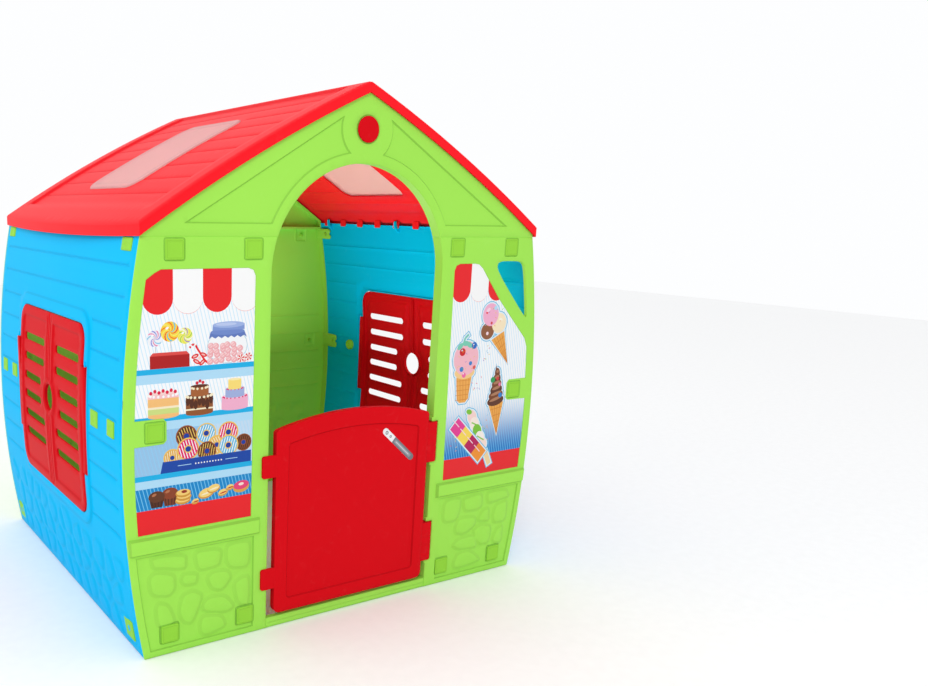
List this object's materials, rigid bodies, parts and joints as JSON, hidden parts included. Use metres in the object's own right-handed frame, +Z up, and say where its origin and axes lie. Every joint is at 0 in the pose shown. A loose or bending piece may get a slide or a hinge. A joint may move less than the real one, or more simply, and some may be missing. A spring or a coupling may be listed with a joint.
{
  "type": "plastic playhouse",
  "caption": "Child's moulded plastic playhouse with bulging walls, arched doorway, half door, louvred shutters, skylit gable roof and printed shop-window panels.",
  "frame": {"origin": "on the ground, under the middle of the house", "axes": "+X along the front towards the hinged side of the half door, +Y from the front to the back, +Z up"},
  "size_m": [1.041, 0.894, 1.09],
  "materials": {
    "green_plastic": "satin, lightly grained",
    "green_clip_plastic": "satin",
    "blue_plastic": "satin, lightly grained",
    "roof_red_plastic": "satin, lightly grained",
    "frosted_plastic": "frosted, translucent",
    "red_plastic": "satin",
    "printed_film": "printed, glossy"
  },
  "bodies": {
    "house": {"front_panel_left": "green_plastic", "front_panel_right": "green_plastic", "front_gable": "green_plastic", "back_panel_left": "green_plastic", "back_panel_right": "green_plastic", "back_gable": "green_plastic", "front_threshold": "green_plastic", "door_hinge_pins": "green_plastic", "front_lock_plugs": "green_clip_plastic", "back_lock_plugs": "green_clip_plastic", "wall_clips_left": "green_clip_plastic", "wall_clips_right": "green_clip_plastic", "clip_knobs_left": "green_clip_plastic", "clip_knobs_right": "green_clip_plastic", "side_wall_left": "blue_plastic", "side_wall_right": "blue_plastic", "shutter_pins_left": "blue_plastic", "shutter_pins_right": "blue_plastic", "roof_panel_left": "roof_red_plastic", "roof_panel_right": "roof_red_plastic", "skylight_left": "frosted_plastic", "skylight_right": "frosted_plastic", "front_disc": "red_plastic", "shop_sticker_left": "printed_film", "shop_sticker_right": "printed_film"},
    "door": {"half_door": "red_plastic", "door_handle_sticker": "printed_film"},
    "shutter_left_front": {"shutter_left_front": "red_plastic"},
    "shutter_left_rear": {"shutter_left_rear": "red_plastic"},
    "shutter_right_front": {"shutter_right_front": "red_plastic"},
    "shutter_right_rear": {"shutter_right_rear": "red_plastic"}
  },
  "joints": [
    {"name": "door_swing", "type": "hinge", "parent": "house", "child": "door", "pos_m": [0.215, -0.4365, 0.231], "axis": [0, 0, 1], "range_deg": [0, 100]},
    {"name": "shutter_left_front_swing", "type": "hinge", "parent": "house", "child": "shutter_left_front", "pos_m": [-0.513, -0.24, 0.4295], "axis": [0, 0, 1], "range_deg": [0, 110]},
    {"name": "shutter_left_rear_swing", "type": "hinge", "parent": "house", "child": "shutter_left_rear", "pos_m": [-0.513, 0.24, 0.4295], "axis": [0, 0, -1], "range_deg": [0, 110]},
    {"name": "shutter_right_front_swing", "type": "hinge", "parent": "house", "child": "shutter_right_front", "pos_m": [0.513, -0.24, 0.4295], "axis": [0, 0, -1], "range_deg": [0, 110]},
    {"name": "shutter_right_rear_swing", "type": "hinge", "parent": "house", "child": "shutter_right_rear", "pos_m": [0.513, 0.24, 0.4295], "axis": [0, 0, 1], "range_deg": [0, 110]}
  ]
}
